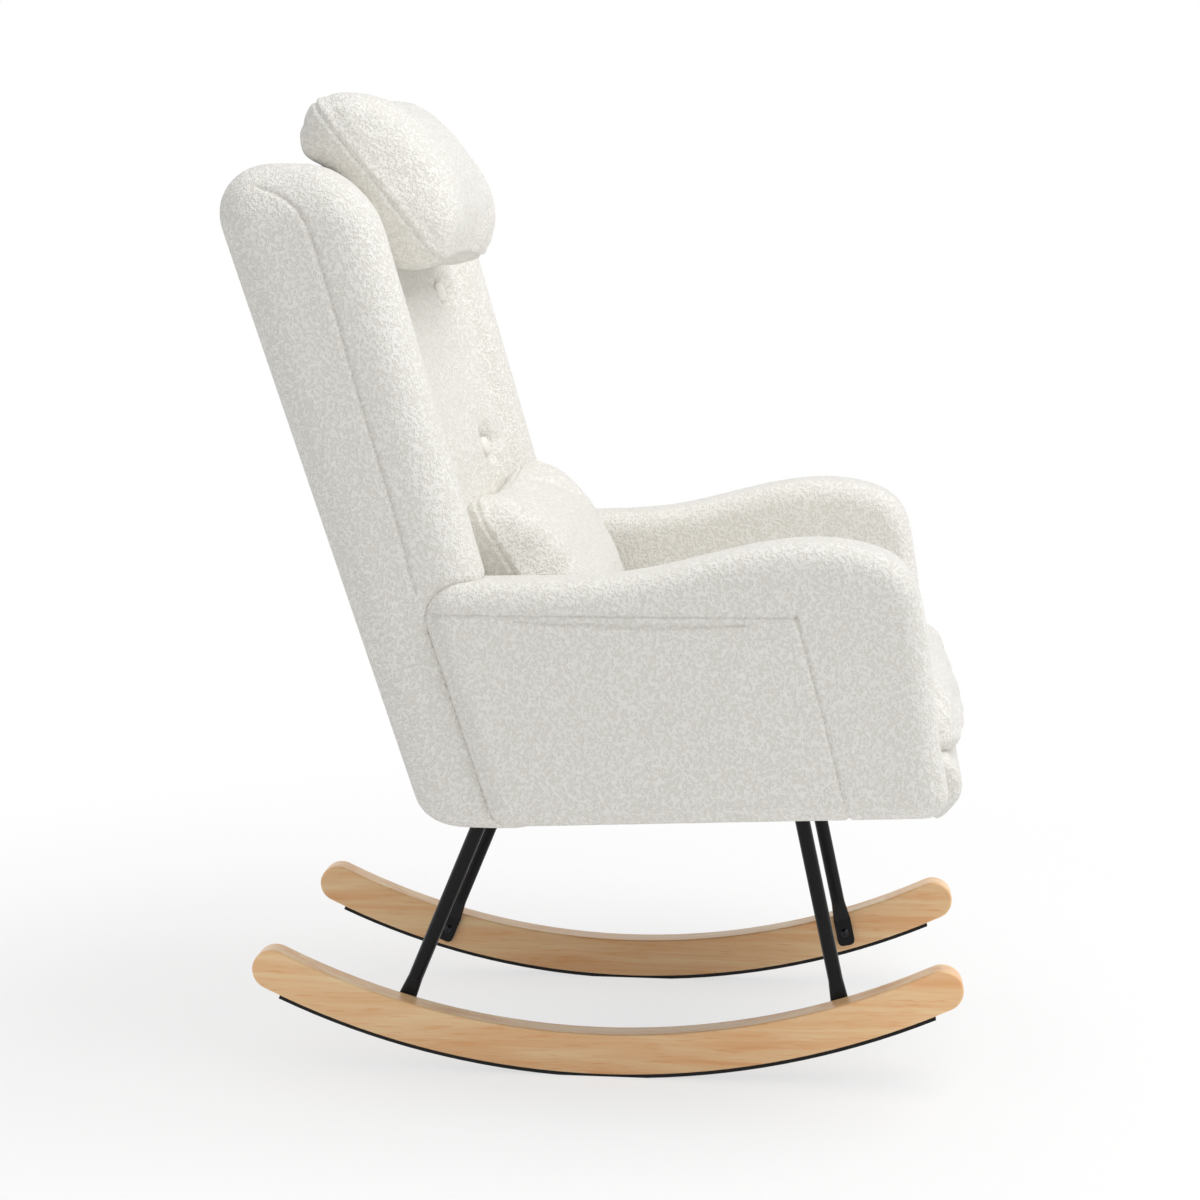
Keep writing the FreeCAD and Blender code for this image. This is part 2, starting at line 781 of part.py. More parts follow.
def make_shell():
    return stacked(shell_ring, end_levels(back_bottom_z + back_bottom_round, back_bottom_round, -1),
                   end_levels(back_top_z - back_top_round, back_top_round, 1))


# Back pad: flat behind, dished in front from wing to wing, rounded off at the top
pad_half_width = back_half_width - wing_round - wing_inner_run - pad_side_gap
dish_radius = (pad_half_width ** 2 + pad_dish ** 2) / (2 * pad_dish)


def pad_ring(z, inset, bulge):
    side_y = wing_front(z) + wing_valley + inset
    rear_y = wing_front(z) + pad_thickness
    half = pad_half_width - inset / 2
    corners = [point(-half, side_y, z), point(half, side_y, z), point(half, rear_y, z),
               point(-half, rear_y, z)]
    crest = point(0, side_y - bulge * (1 - inset / (pad_thickness - wing_valley)), z)
    return Part.Wire([arc(corners[0], crest, corners[1]), line(corners[1], corners[2]),
                      line(corners[2], corners[3]), line(corners[3], corners[0])])


def make_plain_pad():
    levels = end_levels(pad_top_z - pad_top_round, pad_top_round, 1)
    dished = [pad_ring(z, 0, -pad_dish) for z in (pad_dish_z, pad_top_z - pad_top_round)]
    foot = Part.makeLoft([pad_ring(pad_bottom_z, 0, pad_low_crown), dished[0]], True, True)
    trunk = Part.makeLoft(dished, True, True)
    cap_levels = [(z, inset * (pad_thickness - wing_valley) / pad_top_round) for z, inset in levels]
    cap = Part.makeLoft([pad_ring(*level, -pad_dish) for level in cap_levels], True, False)
    return foot.fuse(trunk).fuse(cap)


def tuft_placed(shape, x, z):
    # Stand a shape drawn along +Z on the floor of the tuft at a place on the pad.
    rise = dish_radius - math.sqrt(dish_radius ** 2 - x ** 2)
    lean = math.degrees(math.atan2(wing_front_high_y - wing_front_low_y, back_high_z - back_low_z))
    placed = shape.copy()
    placed.translate(point(0, 0, -tuft_depth))
    placed.rotate(origin, along_x, 90 - lean)
    placed.rotate(origin, along_z, -math.degrees(math.asin(x / dish_radius)))
    placed.translate(point(x, wing_front(z) + wing_valley + pad_dish - rise, z))
    return placed


def make_tuft():
    inner = button_diameter / 2 + soft_clearance
    rim = tuft_radius
    lip = tuft_depth + tuft_lip
    high = tuft_depth + overrun
    slope = point(inner + (rim - inner) * tuft_run_share, 0, tuft_depth * tuft_rise_share)
    return revolved([
        line(origin, point(inner, 0, 0)),
        arc(point(inner, 0, 0), slope, point(rim, 0, lip)),
        line(point(rim, 0, lip), point(rim, 0, high)),
        line(point(rim, 0, high), point(0, 0, high)),
        line(point(0, 0, high), origin),
    ])


def make_button():
    radius = button_diameter / 2
    return revolved([
        line(origin, point(radius, 0, 0)),
        line(point(radius, 0, 0), point(radius, 0, button_edge)),
        domed(radius, button_height - button_edge, button_edge),
        line(point(0, 0, button_height), origin),
    ])


tufts = [(column * tuft_columns_x, z) for z in (tuft_upper_z, tuft_lower_z) for column in (-1, 0, 1)]
plain_pad = make_plain_pad()
plain_shell = make_shell()
back_parts = [parts["back_top_rail"], parts["back_lumbar_rail"], parts["back_webbing"], back_post,
              mirrored(back_post)]
parts["back_pad"] = without(plain_pad, [tuft_placed(make_tuft(), x, z) for x, z in tufts])
parts["back_buttons"] = group([tuft_placed(make_button(), x, z) for x, z in tufts])
parts["back_shell"] = without(plain_shell, [plain_pad, arm, mirrored(arm), base_space, make_hollow(),
                                            frame_bolts[0], mirrored(frame_bolts[0])] + back_parts)

# Cushions: level rings with round corners and sides drawn in between them


def drawn_ring(half_x, y0, y1, corner, draw, front_draw, z):
    bend = corner * (1 - half_root)
    edges = []
    # The side that follows each corner is pulled towards the middle of the ring.
    turns = (((1, 1), point(0, -draw, 0)), ((-1, 1), point(draw, 0, 0)),
             ((-1, -1), point(0, front_draw, 0)), ((1, -1), point(-draw, 0, 0)))
    corners = []
    for (sx, sy), pull in turns:
        y_end = y1 if sy > 0 else y0
        side = point(sx * half_x, y_end - sy * corner, z)
        end = point(sx * (half_x - corner), y_end, z)
        middle = point(sx * (half_x - bend), y_end - sy * bend, z)
        start, stop = (side, end) if sx * sy > 0 else (end, side)
        corners.append((start, middle, stop, pull))
    for (start, middle, stop, pull), following in zip(corners, corners[1:] + corners[:1]):
        edges.append(arc(start, middle, stop))
        edges.append(arc(stop, (stop + following[0]) / 2 + pull, following[0]))
    return Part.Wire(edges)


def cushion_rear_y(z):
    # The level-frame Y where the foot of the pad stands behind the cushion.
    turn = math.radians(seat_tilt)
    climb = (wing_front_high_y - wing_front_low_y) / (back_high_z - back_low_z)
    reach = wing_front(0) - cushion_rear_gap + climb * (seat_base_z + z * math.cos(turn))
    return (reach - z * math.sin(turn)) / (math.cos(turn) + climb * math.sin(turn))


def make_seat_cushion():
    rings = []
    for rise, inset_share in zip(cushion_rise_shares, cushion_inset_shares):
        z = deck + cushion_height * rise
        inset = cushion_edge * inset_share
        half = arm_inner_x - cushion_side_gap - inset
        corner = cushion_corner * half / arm_inner_x
        rings.append(drawn_ring(half, cushion_front_y + cushion_front_bulge + inset,
                                cushion_rear_y(z) - inset, corner, cushion_draw, -cushion_front_bulge, z))
    return seated(Part.makeLoft(rings, True, False))


def make_border():
    half = arm_inner_x - border_end_gap
    low = -border_below_base
    turn = border_round * (1 - half_root)
    edges = [
        line(point(-half, rail_front_y, low), point(-half, rail_front_y, deck)),
        line(point(-half, rail_front_y, deck), point(-half, border_front_y + border_round / 2, deck)),
        arc(point(-half, border_front_y + border_round / 2, deck),
            point(-half, border_front_y, deck - border_round / 2),
            point(-half, border_front_y + turn, low + border_round / 2)),
        line(point(-half, border_front_y + turn, low + border_round / 2),
             point(-half, border_front_y + border_round, low)),
        line(point(-half, border_front_y + border_round, low), point(-half, rail_front_y, low)),
    ]
    return seated(face(edges).extrude(point(2 * half, 0, 0)))


def half_pillow(half_x, half_y, height, edge, corner, draw):
    rings = []
    for rise, inset_share in zip(pillow_rise_shares, pillow_inset_shares):
        inset = edge * inset_share
        shrink = (half_y - inset) / half_y
        rings.append(drawn_ring(half_x - inset, inset - half_y, half_y - inset, corner * shrink,
                                draw * shrink, draw * shrink, height * rise))
    return Part.makeLoft(rings, True, False)


def make_pillow(half_x, half_y, front, rear, edge, corner, draw, lean, y, z):
    # Two crowned halves sewn along their rim, leaned back and set in place.
    ahead = half_pillow(half_x, half_y, front, edge, corner, draw)
    behind = half_pillow(half_x, half_y, -rear, edge, corner, draw)
    pillow = ahead.fuse(behind)
    pillow.rotate(origin, along_x, 90 - lean)
    pillow.translate(point(0, y, z))
    return pillow


def eased(shape, y_way, z_way):
    # A neighbour grown by the soft clearance on the sides that the pillow leans on.
    moved = shape.copy()
    moved.translate(point(0, y_way * soft_clearance, z_way * soft_clearance))
    return moved


parts["seat_cushion"] = make_seat_cushion()
parts["front_border"] = make_border()
head = make_pillow(head_half_width, head_half_height, head_front, head_rear, head_edge, head_corner,
                   head_draw, head_lean, head_y, head_z)
parts["headrest_pillow"] = without(head, [eased(plain_shell, -1, 1), eased(plain_pad, -1, 1)])
lumbar = make_pillow(lumbar_half_width, lumbar_half_height, lumbar_front, lumbar_rear, lumbar_edge,
                     lumbar_corner, lumbar_draw, lumbar_lean, lumbar_y, lumbar_z)
parts["lumbar_pillow"] = without(lumbar, [eased(plain_pad, -1, 0), eased(parts["seat_cushion"], -1, 1)])

for name in [name for name in parts if name.endswith("_left")]:
    parts[name.replace("_left", "_right")] = mirrored(parts[name])

# The origin lies on the floor, under the middle of the overall length
overall = group(list(parts.values())).optimalBoundingBox(True, False)
os.makedirs("parts", exist_ok=True)
for name, shape in sorted(parts.items()):
    shape.translate(point(0, -overall.Center.y, 0))
    shape.exportStep("parts/" + name + ".step")
    print(name, len(shape.Solids), round(shape.Volume), shape.isValid())
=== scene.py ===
import bpy
import bmesh
import math
import numpy as np
from mathutils import Matrix, Vector
from mathutils.bvhtree import BVHTree


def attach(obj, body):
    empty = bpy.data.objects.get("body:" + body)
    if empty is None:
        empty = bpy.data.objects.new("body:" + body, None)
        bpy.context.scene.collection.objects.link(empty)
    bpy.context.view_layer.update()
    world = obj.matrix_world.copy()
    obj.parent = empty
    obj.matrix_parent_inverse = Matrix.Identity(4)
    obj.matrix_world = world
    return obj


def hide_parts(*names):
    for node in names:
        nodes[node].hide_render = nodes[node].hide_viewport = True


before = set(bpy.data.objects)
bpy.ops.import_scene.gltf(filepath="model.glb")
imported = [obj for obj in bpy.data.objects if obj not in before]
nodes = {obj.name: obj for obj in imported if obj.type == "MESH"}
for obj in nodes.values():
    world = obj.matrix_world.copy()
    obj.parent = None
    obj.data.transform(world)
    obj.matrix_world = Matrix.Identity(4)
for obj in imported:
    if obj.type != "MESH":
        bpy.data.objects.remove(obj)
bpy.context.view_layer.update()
scene = bpy.context.scene
mergeWithin = 1e-5           # m, corners of the CAD triangles that lie closer than this are one
print("frame loaded:", len(nodes), "nodes")


def linear(hexColour):
    # sRGB hex to the linear colour that the shaders take
    parts = [int(hexColour[i:i + 2], 16) / 255 for i in (1, 3, 5)]
    return [c / 12.92 if c <= 0.04045 else ((c + 0.055) / 1.055) ** 2.4 for c in parts] + [1.0]


def addNode(tree, kind, inputs=None, **settings):
    # one node with its settings; an input that is a socket is linked, anything else is set
    node = tree.nodes.new(kind)
    for name, value in settings.items():
        setattr(node, name, value)
    for key, value in (inputs or {}).items():
        if isinstance(value, bpy.types.NodeSocket):
            tree.links.new(value, node.inputs[key])
        else:
            node.inputs[key].default_value = value
    return node


def newMaterial(name):
    material = bpy.data.materials.new(name)
    material.use_nodes = True
    material.node_tree.nodes.clear()
    return material, material.node_tree


def closeMaterial(tree, shaderInputs):
    shader = addNode(tree, "ShaderNodeBsdfPrincipled", shaderInputs)
    addNode(tree, "ShaderNodeOutputMaterial", {"Surface": shader.outputs["BSDF"]})


# ivory curly-pile upholstery: short looped yarn, so fine worm-like curls, no gloss; the gaps between the
# curls are painted darker, a painted shade of the hollows there
teddy = {
    "curl": 0.0040,          # m, size of one curl
    "wander": 0.0064,        # m, size of the bends in the curls
    "bend": 0.0032,          # m, how far a bend leads aside
    "turns": 2.4,            # yarns across one curl
    "light": "#f7f5f0",
    # light is the pile's own ivory; shade is painted shade for the hollows between the curls
    "shade": "#eae7df",
    "relief": 0.0014,        # m, height of the pile
    # over a button the painted shade between the curls is paler and the relief lower
    "stretchedShade": "#f1eee7",   # drawn tight over a button it lies flatter and looks smoother
    "stretchedRelief": 0.0003,
}


def makeTeddy(name, shade, relief):
    material, tree = newMaterial(name)
    place = addNode(tree, "ShaderNodeTexCoord").outputs["Object"]
    bends = addNode(tree, "ShaderNodeTexNoise", {"Vector": place, "Scale": 1 / teddy["wander"],
                                                 "Detail": 1.0})
    centred = addNode(tree, "ShaderNodeVectorMath", {0: bends.outputs["Color"], 1: (0.5, 0.5, 0.5)},
                      operation="SUBTRACT")
    pushed = addNode(tree, "ShaderNodeVectorMath", {0: centred.outputs[0], "Scale": teddy["bend"]},
                     operation="SCALE")
    bent = addNode(tree, "ShaderNodeVectorMath", {0: place, 1: pushed.outputs[0]}, operation="ADD")
    noise = addNode(tree, "ShaderNodeTexNoise", {"Vector": bent.outputs[0], "Scale": 1 / teddy["curl"],
                                                 "Detail": 1.0})
    turned = addNode(tree, "ShaderNodeMath", {0: noise.outputs["Fac"], 1: teddy["turns"] * 2 * math.pi},
                     operation="MULTIPLY")
    wave = addNode(tree, "ShaderNodeMath", {0: turned.outputs[0]}, operation="COSINE")
    yarn = addNode(tree, "ShaderNodeMapRange", {"Value": wave.outputs[0], "From Min": -1.0})
    # the yarn pattern mixes the ivory with painted shade in the gaps between the curls
    colour = addNode(tree, "ShaderNodeMix", {"Factor": yarn.outputs[0], "A": linear(shade),
                                             "B": linear(teddy["light"])}, data_type="RGBA")
    bump = addNode(tree, "ShaderNodeBump", {"Strength": 0.6, "Distance": relief, "Height": yarn.outputs[0]})
    closeMaterial(tree, {"Base Color": colour.outputs["Result"], "Roughness": 0.95, "Specular IOR Level": 0.1,
                         "Sheen Weight": 0.5, "Sheen Roughness": 0.35, "Normal": bump.outputs[0]})
    return material


# clear-lacquered maple, sawn along the grain: fine streaks and short flecks, satin
maple = {
    "streak": 0.018,         # m, across the grain, of a band of growth lines
    "fleck": 0.0024,         # m, across the grain
    "alongGrain": 0.07,      # width of streaks and flecks as a share of their length
    "streakRange": (0.33, 0.68),   # noise over which pale turns to brown
    "fleckRange": (0.58, 0.72),
    "fleckTone": 0.45,       # share of brown in a fleck
    "relief": 0.0004,
    "pale": "#ffdfae",
    "brown": "#efb277",
}


def makeMaple():
    # the grain runs in long straight lines along the plank that the rocker was sawn from
    material, tree = newMaterial("lacqueredMaple")
    place = addNode(tree, "ShaderNodeTexCoord").outputs["Object"]
    stretched = addNode(tree, "ShaderNodeVectorMath", {0: place, 1: (1.0, maple["alongGrain"], 1.0)},
                        operation="MULTIPLY").outputs[0]
    streaks = addNode(tree, "ShaderNodeTexNoise", {"Vector": stretched, "Scale": 1 / maple["streak"],
                                                   "Detail": 5.0, "Roughness": 0.6, "Distortion": 0.6})
    flecks = addNode(tree, "ShaderNodeTexNoise", {"Vector": stretched, "Scale": 1 / maple["fleck"],
                                                  "Detail": 2.0})
    streakLow, streakHigh = maple["streakRange"]
    fleckLow, fleckHigh = maple["fleckRange"]
    streakTone = addNode(tree, "ShaderNodeMapRange", {"Value": streaks.outputs["Fac"], "From Min": streakLow,
                                                      "From Max": streakHigh})
    fleckTone = addNode(tree, "ShaderNodeMapRange", {"Value": flecks.outputs["Fac"], "From Min": fleckLow,
                                                     "From Max": fleckHigh, "To Max": maple["fleckTone"]})
    tone = addNode(tree, "ShaderNodeMath", {0: streakTone.outputs[0], 1: fleckTone.outputs[0]},
                   operation="ADD", use_clamp=True)
    colour = addNode(tree, "ShaderNodeMix", {"Factor": tone.outputs[0], "A": linear(maple["pale"]),
                                             "B": linear(maple["brown"])}, data_type="RGBA")
    bump = addNode(tree, "ShaderNodeBump", {"Strength": 0.12, "Distance": maple["relief"],
                                            "Height": flecks.outputs["Fac"]})
    closeMaterial(tree, {"Base Color": colour.outputs["Result"], "Roughness": 0.36, "IOR": 1.5,
                         "Coat Weight": 0.25, "Coat Roughness": 0.2, "Normal": bump.outputs[0]})
    return material


# plain finishes, each with two close colours, one fine grain and a relief, both in m, and its gloss
finishes = {
    # paint baked on steel tube: deep black with narrow soft highlights
    "blackPowderCoat": {"low": "#08080a", "high": "#101013", "grain": 0.0009, "relief": 0.0001, "rough": 0.27,
                        "mirror": 0.2},
    # moulded rubber: flat black, no highlights
    "blackRubber": {"low": "#0a0a0a", "high": "#161616", "grain": 0.0016, "relief": 0.0003, "rough": 0.85},
    # blackened zinc on steel: dark metal with a satin gleam
    "blackZincSteel": {"low": "#26262a", "high": "#3b3b40", "grain": 0.0006, "relief": 0.00005, "rough": 0.35,
                       "metal": 1.0},
    # turned brass: bright yellow metal
    "turnedBrass": {"low": "#b08a45", "high": "#d0aa62", "grain": 0.0005, "relief": 0.00004, "rough": 0.3,
                    "metal": 1.0},
    # planed pine: bare yellowish wood, dull
    "planedPine": {"low": "#c9a36b", "high": "#dfc08c", "grain": 0.004, "relief": 0.0001, "rough": 0.6},
    # sanded birch plywood: bare and paler, dull
    "birchPly": {"low": "#c8a878", "high": "#dcc49a", "grain": 0.0025, "relief": 0.0001, "rough": 0.6},
    # woven rubber thread: dark brown-grey bands, coarse and dull
    "elasticWebbing": {"low": "#3a3631", "high": "#59534b", "grain": 0.0022, "relief": 0.0005, "rough": 0.9},
    # bonded fleece: thin flat black cloth
    "blackDustCloth": {"low": "#101010", "high": "#1d1d1d", "grain": 0.0014, "relief": 0.0003, "rough": 0.95},
    # spun polyester thread, toned a little darker than the pile: partly its own colour, partly painted shade
    # of the seam groove it lies in
    "ivoryThread": {"low": "#d4cec2", "high": "#e4dfd5", "grain": 0.0008, "relief": 0.0002, "rough": 0.8},
}


def makeFinish(name):
    look = finishes[name]
    material, tree = newMaterial(name)
    place = addNode(tree, "ShaderNodeTexCoord").outputs["Object"]
    grain = addNode(tree, "ShaderNodeTexNoise", {"Vector": place, "Scale": 1 / look["grain"], "Detail": 2.0})
    colour = addNode(tree, "ShaderNodeMix", {"Factor": grain.outputs["Fac"], "A": linear(look["low"]),
                                             "B": linear(look["high"])}, data_type="RGBA")
    bump = addNode(tree, "ShaderNodeBump", {"Strength": 0.5, "Distance": look["relief"],
                                            "Height": grain.outputs["Fac"]})
    closeMaterial(tree, {"Base Color": colour.outputs["Result"], "Roughness": look["rough"],
                         "Metallic": look.get("metal", 0.0), "Specular IOR Level": look.get("mirror", 0.5),
                         "Normal": bump.outputs[0]})
    return material


teddyFabric = makeTeddy("ivoryCurlyPile", teddy["shade"], teddy["relief"])
buttonFabric = makeTeddy("ivoryPileStretched", teddy["stretchedShade"], teddy["stretchedRelief"])
seamThread = makeFinish("ivoryThread")

# hard pieces by the start of their names, where the first that fits counts
finishOf = {"rocker": makeMaple()}
for start, name in (("anti_slip", "blackRubber"), ("leg_front", "blackPowderCoat"),
                    ("leg_rear", "blackPowderCoat"), ("foot_bolts", "blackZincSteel"),
                    ("leg_plate", "blackZincSteel"), ("frame_bolts", "blackZincSteel"),
                    ("foot_inserts", "turnedBrass"), ("arm_board", "birchPly"),
                    ("seat_webbing", "elasticWebbing"), ("back_webbing", "elasticWebbing"),
                    ("dust_cover", "blackDustCloth"), ("seat_", "planedPine"), ("back_", "planedPine"),
                    ("leg_bearer", "planedPine")):
    finishOf[start] = bpy.data.materials.get(name) or makeFinish(name)
for nodeName, node in nodes.items():
    for start, material in finishOf.items():
        if nodeName.startswith(start):
            for slot in node.material_slots:
                slot.material = material
            break
print("materials made")


# soft covers: CAD solids merged, remeshed and smoothed into one skin
def mergedMesh(nodeNames, change=None):
    work = bmesh.new()
    for nodeName in nodeNames:
        work.from_mesh(nodes[nodeName].data)
    bmesh.ops.remove_doubles(work, verts=work.verts, dist=mergeWithin)
    if change:
        change(work)
    mesh = bpy.data.meshes.new("work")
    work.to_mesh(mesh)
    work.free()
    return mesh


def addBlock(work, low, high):
    # a box between two corners, which the remesh joins to the skin
    for vert in bmesh.ops.create_cube(work, size=1.0)["verts"]:
        share = vert.co + Vector((0.5, 0.5, 0.5))
        vert.co = Vector([low[i] + (high[i] - low[i]) * share[i] for i in range(3)])


def evaluated(piece):
    # the piece's mesh with its modifiers, in place of its own
    graph = bpy.context.evaluated_depsgraph_get()
    mesh = bpy.data.meshes.new_from_object(piece.evaluated_get(graph))
    piece.modifiers.clear()
    piece.data = mesh
    return piece


def islandsOf(work):
    # the points of each separate shell
    seen = set()
    islands = []
    for vert in work.verts:
        if vert in seen:
            continue
        island, queue = [], [vert]
        seen.add(vert)
        while queue:
            here = queue.pop()
            island.append(here)
            for edge in here.link_edges:
                other = edge.other_vert(here)
                if other not in seen:
                    seen.add(other)
                    queue.append(other)
        islands.append(island)
    return islands


def outerSkin(piece):
    # drop the closed hollows inside
    work = bmesh.new()
    work.from_mesh(piece.data)
    islands = islandsOf(work)
    largest = max(islands, key=len)
    for island in islands:
        if island is not largest:
            bmesh.ops.delete(work, geom=island, context="VERTS")
    work.to_mesh(piece.data)
    work.free()


def softPiece(name, nodeNames, look, change=None):
    piece = bpy.data.objects.new(name, mergedMesh(nodeNames, change))
    scene.collection.objects.link(piece)
    remesh = piece.modifiers.new("skin", "REMESH")
    remesh.mode = "VOXEL"
    remesh.voxel_size = look["voxel"]
    smooth = piece.modifiers.new("ease", "SMOOTH")
    smooth.factor = 0.5
    smooth.iterations = look["smoothing"]
    evaluated(piece)
    outerSkin(piece)
    piece.data.materials.clear()
    piece.data.materials.append(teddyFabric)
    piece.data.shade_smooth()
    print(name, len(piece.data.vertices), "points")
    return piece


def places(piece):
    found = np.empty(len(piece.data.vertices) * 3)
    piece.data.vertices.foreach_get("co", found)
    return found.reshape(-1, 3)


def facings(piece):
    found = np.empty(len(piece.data.vertices) * 3)
    piece.data.vertices.foreach_get("normal", found)
    return found.reshape(-1, 3)


def setPlaces(piece, found):
    piece.data.vertices.foreach_set("co", found.ravel())
    piece.data.update()


def grow(piece, amount):
    setPlaces(piece, places(piece) + facings(piece) * amount)


def toLine(points, path):
    # distance of each point from a polyline, in as many directions as both have
    best = np.full(len(points), np.inf)
    for start, end in zip(path[:-1], path[1:]):
        start, end = np.array(start), np.array(end)
        step = end - start
        share = np.clip((points - start) @ step / (step @ step), 0, 1)
        best = np.minimum(best, np.linalg.norm(points - start - share[:, None] * step, axis=1))
    return best


def refine(piece, near):
    # halve the edges where near is true, and ease the new points
    work = bmesh.new()
    work.from_mesh(piece.data)
    work.verts.ensure_lookup_table()
    edges = [edge for edge in work.edges if near[edge.verts[0].index] and near[edge.verts[1].index]]
    made = bmesh.ops.subdivide_edges(work, edges=edges, cuts=1, use_grid_fill=True)
    fresh = [part for part in made["geom_inner"] if isinstance(part, bmesh.types.BMVert)]
    for _ in range(2):
        bmesh.ops.smooth_vert(work, verts=fresh, factor=0.5,
                              use_axis_x=True, use_axis_y=True, use_axis_z=True)
    work.to_mesh(piece.data)
    work.free()
    piece.data.shade_smooth()


def press(piece, away, width, depth):
    # a sewn groove along the points that lie close to a seam
    dent = np.exp(-(away / width) ** 2) * depth
    setPlaces(piece, places(piece) - facings(piece) * dent[:, None])


def finishSoft(piece, body, fill, *stoodFor):
    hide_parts(*stoodFor)
    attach(piece, body)


def skinTree(piece):
    corners = [vert.co for vert in piece.data.vertices]
    return BVHTree.FromPolygons(corners, [face.vertices for face in piece.data.polygons])


# sewn lines, found here for the stitches of each body
seams = {"chair": [], "headrest": [], "lumbar": []}
sewing = {
    "spacing": 0.006,        # m, between the points of a line
    "sink": 0.0004,          # m, how deep the thread lies in the cloth
    "from": 0.6,             # m, out from the middle of the chair, from where its side is felt for
    "rimPoints": 150,
}


def onSide(piece, path, way):
    # a path of Y and Z laid on the piece's outer side, seen along X
    tree = skinTree(piece)
    laid = []
    for start, end in zip(path[:-1], path[1:]):
        start, end = np.array(start), np.array(end)
        count = max(1, int(np.linalg.norm(end - start) / sewing["spacing"]))
        for step in range(count):
            y, z = start + (end - start) * step / count
            hit = tree.ray_cast(Vector((way * sewing["from"], y, z)), Vector((-way, 0, 0)))
            if hit[0] is not None:
                laid.append(hit[0] - hit[1] * sewing["sink"])
    return laid


# arms: one cover each over pad, facing and pocket panel
arms = {
    "voxel": 0.003,
    "smoothing": 3,
    "fill": 0.9,
    "swell": 0.0012,         # m, gained back after the smoothing
    "outerX": 0.330,
    "sideDepth": 0.030,      # m in from outerX, where the outer side ends
    "panelBack": (0.0035, 0.0045),     # m in from outerX, between which the pocket panel's back lies
    "panelSunk": 0.015,      # m in from outerX, where that back goes, inside the arm
    "pocketFloor": 0.3256,   # m, how far out the cover behind the pocket's mouth lies
    "liningLow": (-0.215, 0.500),      # Y and Z of two corners of that cover
    "liningHigh": (0.130, 0.530),
    "seamReach": 0.010,      # m from a seam, within which the mesh is finer
    "seamDepth": 0.0026,
    "seamWidth": 0.0021,
    "frontFrom": -0.270,     # m, forward of which the front draws back
    "frontBlend": 0.060,
    # heights, and how far the front draws back there
    "frontRise": (0.335, 0.360, 0.400, 0.450, 0.520, 0.560, 0.590),
    "frontEase": (0.0, 0.004, 0.011, 0.012, 0.007, 0.003, 0.0),
    "frontSeam": [(-0.206, 0.532), (-0.221, 0.478), (-0.236, 0.424), (-0.259, 0.334), (-0.263, 0.316)],
    "mouthLine": [(0.160, 0.5275), (0.116, 0.528), (-0.206, 0.531)],
}


def closedPocket(way):
    # the pocket hangs flat: its panel lies on the arm, and only the mouth stays a little open
    def change(work):
        shallow, deep = arms["panelBack"]
        sunk = way * (arms["outerX"] - arms["panelSunk"])
        for vert in work.verts:
            if shallow < arms["outerX"] - vert.co.x * way < deep:
                vert.co.x = sunk
        addBlock(work, (sunk, *arms["liningLow"]), (way * arms["pocketFloor"], *arms["liningHigh"]))
    return change


def makeArm(side, way):
    pad, facing, panel = "arm_pad_" + side, "arm_facing_" + side, "side_pocket_" + side
    piece = softPiece("armCover_" + side, [pad, facing, "arm_board_" + side, panel], arms, closedPocket(way))
    grow(piece, arms["swell"])
    found = places(piece)
    ahead = np.clip((arms["frontFrom"] - found[:, 1]) / arms["frontBlend"], 0, 1)
    found[:, 1] += ahead * np.interp(found[:, 2], arms["frontRise"], arms["frontEase"])
    setPlaces(piece, found)

    def fromSeam(path):
        # distance from a seam on the outer side; points elsewhere are out of its reach
        now = places(piece)
        outside = now[:, 0] * way > arms["outerX"] - arms["sideDepth"]
        return np.where(outside, toLine(now[:, 1:], path), np.inf)

    sewn = (arms["frontSeam"], arms["mouthLine"])
    for path in sewn:
        refine(piece, fromSeam(path) < arms["seamReach"])
    for path in sewn:
        press(piece, fromSeam(path), arms["seamWidth"], arms["seamDepth"])
    seams["chair"].append(onSide(piece, arms["frontSeam"], way))
    finishSoft(piece, "chair", arms["fill"], pad, facing, panel)


makeArm("left", 1)
makeArm("right", -1)

# back: one cover over shell and tufted pad
back = {
    "voxel": 0.0045,
    "smoothing": 6,
    "fill": 0.9,
    "swell": 0.0014,
    "sideX": 0.300,          # m, past which the wings' outer sides lie
    "seamReach": 0.012,
    "seamDepth": 0.0026,
    "seamWidth": 0.0022,
    "sideSeam": [(0.332, 0.951), (0.316, 0.946), (0.302, 0.939), (0.290, 0.929), (0.282, 0.917),
                 (0.275, 0.901), (0.264, 0.865), (0.250, 0.818), (0.235, 0.762), (0.191, 0.610),
                 (0.176, 0.548)],
    "tuftReach": 0.070,      # m, how far the folds run from a button
    "tuftBehind": 0.100,     # m from a button, past which the cover's rear lies
    "folds": (-1.45, -0.62, 0.18, 0.95, 1.72, 2.55),   # radians, directions of the folds round a button
    "foldSwing": 0.35,       # radians, how far a fold strays from its direction
    "swingByButton": 3.1,    # radians, turn of the sine that leads it astray, from one to the next
    "swingByFold": 1.7,
    "foldDepth": 0.0048,
    "foldWidth": 0.0056,
    "foldNarrow": 0.6,       # share of its width that a fold has at the button
    "foldOpens": 0.040,      # m, over which a fold gains its whole width
    "foldFrom": 0.012,       # m from the button's middle, where the folds begin
    "foldBlend": 0.010,
    "foldFade": 1.5,         # how soon a fold dies away, where 1 is evenly
    "ringDepth": 0.0036,     # the cloth dips round a button
    "ringWidth": 0.0040,
    "ringBehind": 0.060,
    "buttonSize": 0.0112,
    "buttonRise": 0.0054,
    "buttonLift": 0.0034,    # m, how far its middle stands proud of the cover
    "buttonFrom": 0.050,     # m before the pad, from where the cover is felt for
}


